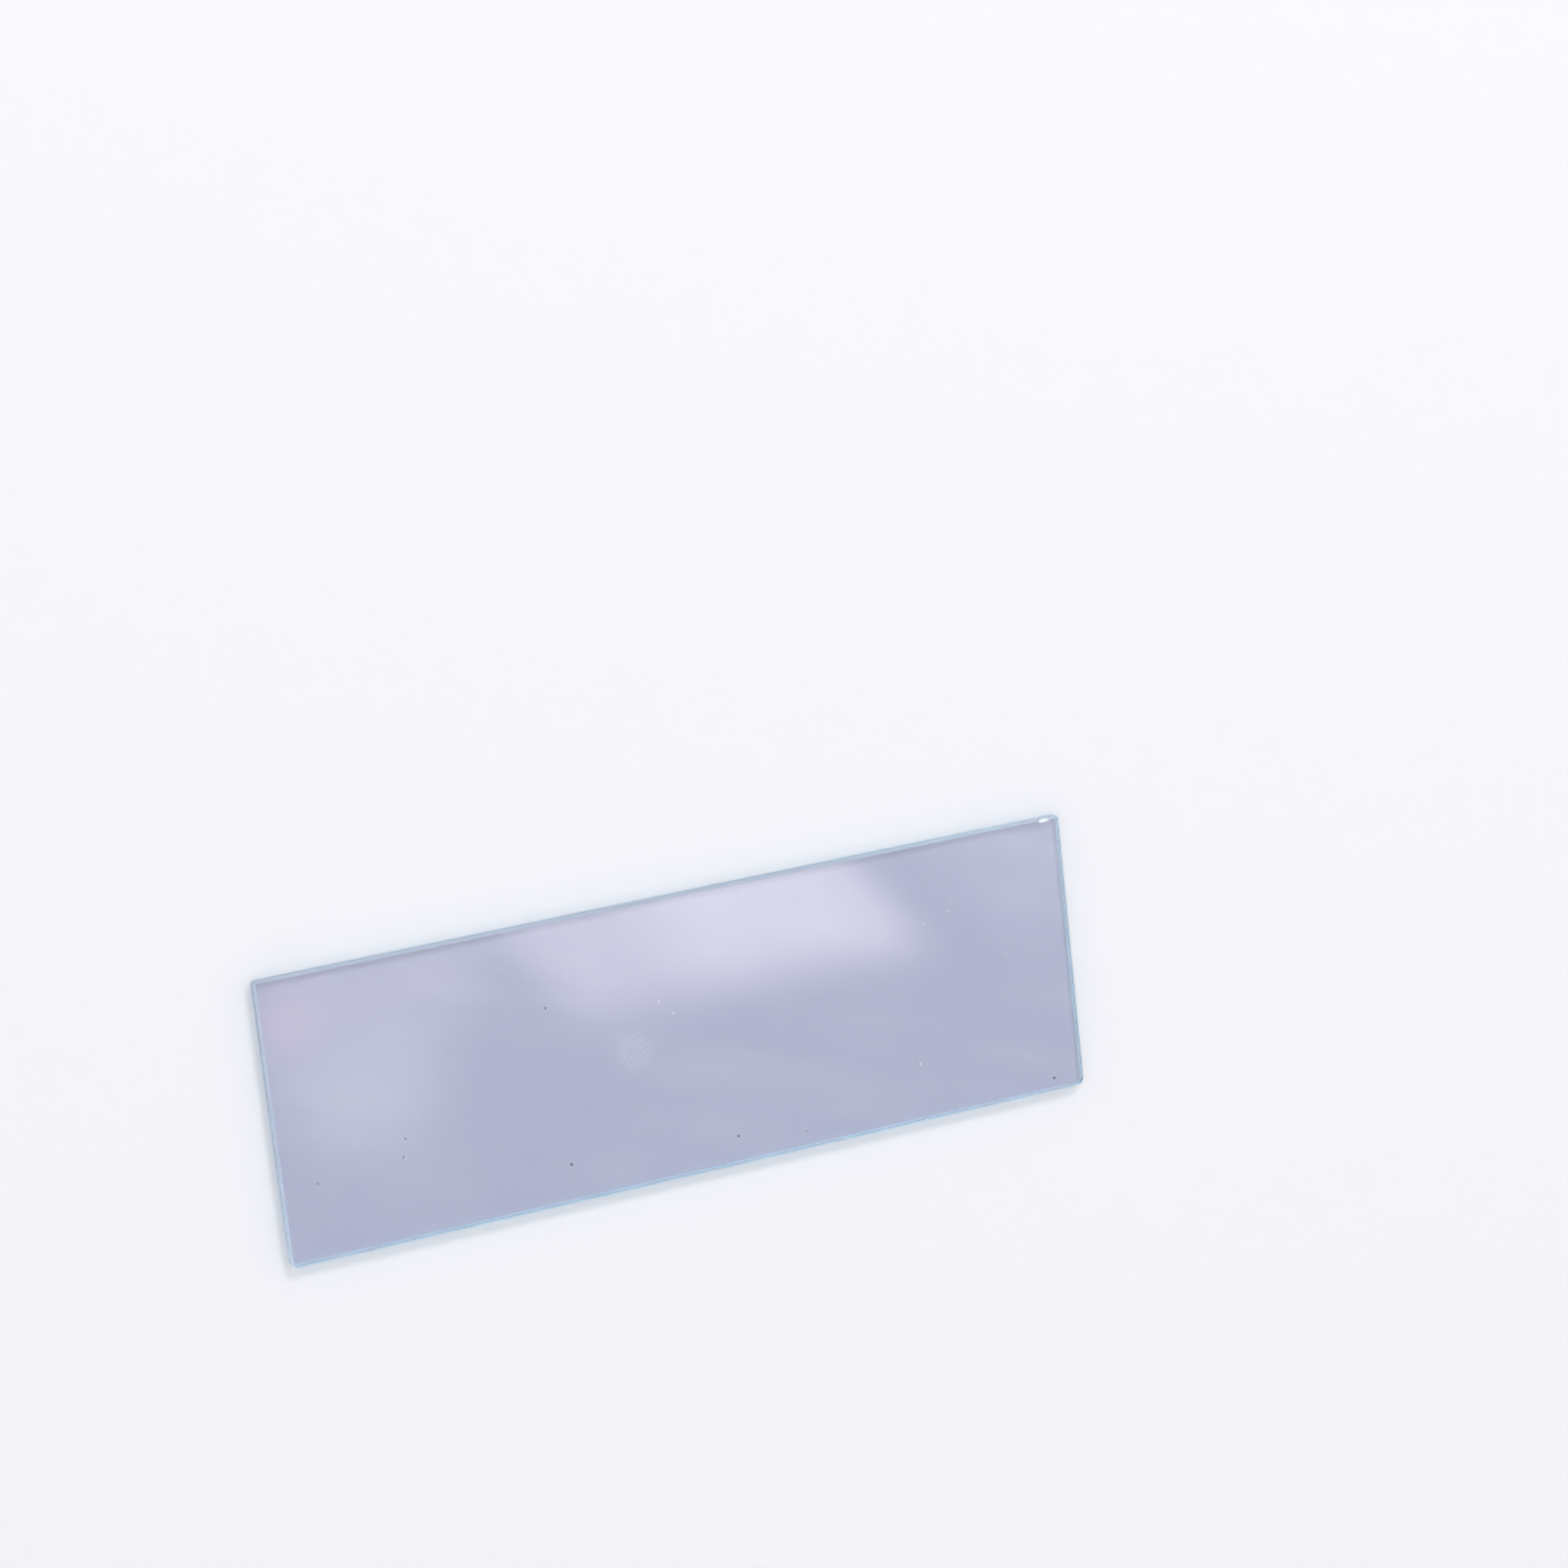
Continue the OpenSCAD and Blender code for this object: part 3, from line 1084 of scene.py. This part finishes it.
# %% Lamps and panels
base_glow = np.array((0.83, 0.83, 0.85))
lamp_pitch, lamp_half, lamp_soft = (0.24, 0.19), (0.085, 0.065), 0.03    # metres
between_lamps, at_lamps = 0.66, 1.50       # share of the base glow
screen_middle, screen_half, screen_soft, screen_left = (2, 0), (58, 30), (14, 12), 0.33
panels = [
    # middle x and y on the face, half sizes, slant, softness in x and y (all mm), light added
    ((-0.5, 14), (16.6, 10.6), 0.73, (2.8, 3.4), (2.10, 1.75, 1.72)),  # the large slanted panel
    ((4.5, 15), (10.5, 10.6), 0.73, (5.0, 3.4), (1.20, 1.10, 1.10)),   # its brighter middle
    ((33, 13), (9.0, 10.0), 0.73, (5.0, 4.0), (0.70, 0.60, 0.60)),     # what it spills to the right
    ((-29, 1.6), (6.0, 5.0), 0.0, (4.5, 4.5), (1.30, 1.20, 1.00)),     # haze on the left
    ((-27, 10), (9.0, 3.0), 0.0, (4.0, 4.0), (1.05, 0.80, 0.65)),      # and above it
    ((-36, 8.5), (2.2, 2.4), 0.0, (2.6, 3.4), (1.40, 0.65, 0.75)),     # a warm spot beside it
]


def soft_box(x, y, half, softness):
    """1 inside a box round the origin, 0 outside it, with soft borders."""
    return soft_step(half[0] - abs(x), softness[0]) * soft_step(half[1] - abs(y), softness[1])


def ceiling_light(x, y, face_x, face_y):
    """The light at points of the ceiling, given in metres and as the place on the face they mirror."""
    lamps = soft_box(beside_nearest(x, lamp_pitch[0]), beside_nearest(y, lamp_pitch[1]),
                     lamp_half, (lamp_soft, lamp_soft))
    level = between_lamps + (at_lamps - between_lamps) * lamps
    screened = soft_box(face_x - screen_middle[0], face_y - screen_middle[1],
                        screen_half, screen_soft)
    light = (level + (screen_left - level) * screened)[:, None] * base_glow
    for (middle_x, middle_y), half, slant, softness, colour in panels:
        up = face_y - middle_y
        across = face_x - middle_x + slant * up
        light += soft_box(across, up, half, softness)[:, None] * np.array(colour)
    return light


print(len(panels), "panels")

# %% [markdown]
# ## The ceiling
# A painted picture of the light would need an image. The light is stored on the points of a grid
# instead, with its lines close together only over the mirrored patch, where borders must be smooth.

# %% Ceiling
def ceiling_lines(middle, fine_half, fine_step=0.004, coarse_step=0.014):
    """Grid lines across the ceiling, close together round the mirrored patch."""
    low, high = middle - fine_half, middle + fine_half
    return np.concatenate([
        np.linspace(-ceiling_half, low, round((low + ceiling_half) / coarse_step))[:-1],
        np.arange(low, high, fine_step),
        np.linspace(high, ceiling_half, round((ceiling_half - high) / coarse_step)),
    ])


def ceiling_mesh(fine_half_x=0.19, fine_half_y=0.09):
    middle = mirrored_on_ceiling(0, 0)
    columns, rows = ceiling_lines(middle.x, fine_half_x), ceiling_lines(middle.y, fine_half_y)
    x, y = (grid.ravel() for grid in np.meshgrid(columns, rows, indexing="ij"))
    light = ceiling_light(x, y, (x - middle.x) / (ceiling_scale * mm),
                          (y - middle.y) / (ceiling_scale * mm))
    n = len(rows)
    faces = [(i * n + j, i * n + j + 1, (i + 1) * n + j + 1, (i + 1) * n + j)
             for i in range(len(columns) - 1) for j in range(n - 1)]
    mesh = bpy.data.meshes.new("ceiling_cloth")
    mesh.from_pydata(np.stack([x, y, 0 * x], axis=1).tolist(), [], faces)
    glow = mesh.attributes.new("glow", "FLOAT_COLOR", "POINT")
    glow.data.foreach_set("color", np.concatenate([light, np.ones((len(light), 1))], axis=1).ravel())
    return mesh


ceiling = put_in_scene("ceiling_cloth", ceiling_mesh())
ceiling.location.z = ceiling_height
print(len(ceiling.data.polygons), "faces in the ceiling")

# %% [markdown]
# A cloth with lamps behind it shines by itself, so its finish has no surface to be lit. It gives out
# the colour that is stored on its points, and the plate and the table are lit by that.

# %% Ceiling finish
cloth, tree, shader = new_finish("lit_cloth")
tree.nodes.remove(shader)
glow = add(tree, "Attribute", {"attribute_name": "glow"}).outputs["Color"]
emit = add(tree, "Emission", Color=glow, Strength=1.0)
tree.links.new(emit.outputs["Emission"], tree.nodes["Material Output"].inputs["Surface"])
cloth.cycles.emission_sampling = "NONE"    # so broad a light is found without being aimed at
ceiling.data.materials.append(cloth)
print("ceiling finish:", len(tree.nodes), "nodes")

# %% [markdown]
# ## A softbox
# A small softbox beyond the far edge adds the one thing that the ceiling can't: a highlight with
# a shape, in the chip and along the slopes of the rim. The air around the set is a dim plain white.

# %% Softbox and air
softbox_towards = Vector((0.25, 0.72, 0.62)).normalized()
softbox_distance = 1.0
softbox_width, softbox_height, softbox_watts = 0.34, 0.24, 3.2
soft = bpy.data.lights.new("softbox", "AREA")
soft.shape, soft.energy = "RECTANGLE", softbox_watts
soft.size, soft.size_y = softbox_width, softbox_height
softbox = put_in_scene("softbox", soft)
softbox.location = softbox_towards * softbox_distance
softbox.rotation_euler = softbox_towards.to_track_quat("Z", "Y").to_euler()

world = bpy.data.worlds.new("studio_air")
world.use_nodes = True
air = world.node_tree.nodes["Background"]
air.inputs["Color"].default_value, air.inputs["Strength"].default_value = (0.95, 0.96, 1.0, 1), 0.55
bpy.context.scene.world = world
print("softbox at", [round(value, 2) for value in softbox.location], "m")

# %% [markdown]
# ## How the picture is made
# Colours are shown as they are, with no film curve. Light crosses the plate many times before it
# leaves by the rim, so paths through glass are long. The filter that blurs reflections seen by dull
# surfaces is off, because it would leave a grey shadow under a clear plate.

# %% Colour and light paths
bpy.context.scene.view_settings.view_transform = "Standard"
paths = bpy.context.scene.cycles
paths.blur_glossy = 0.0
paths.max_bounces = 32
paths.transmission_bounces = 24
paths.glossy_bounces = 24
print("up to", paths.transmission_bounces, "crossings of a glass surface")
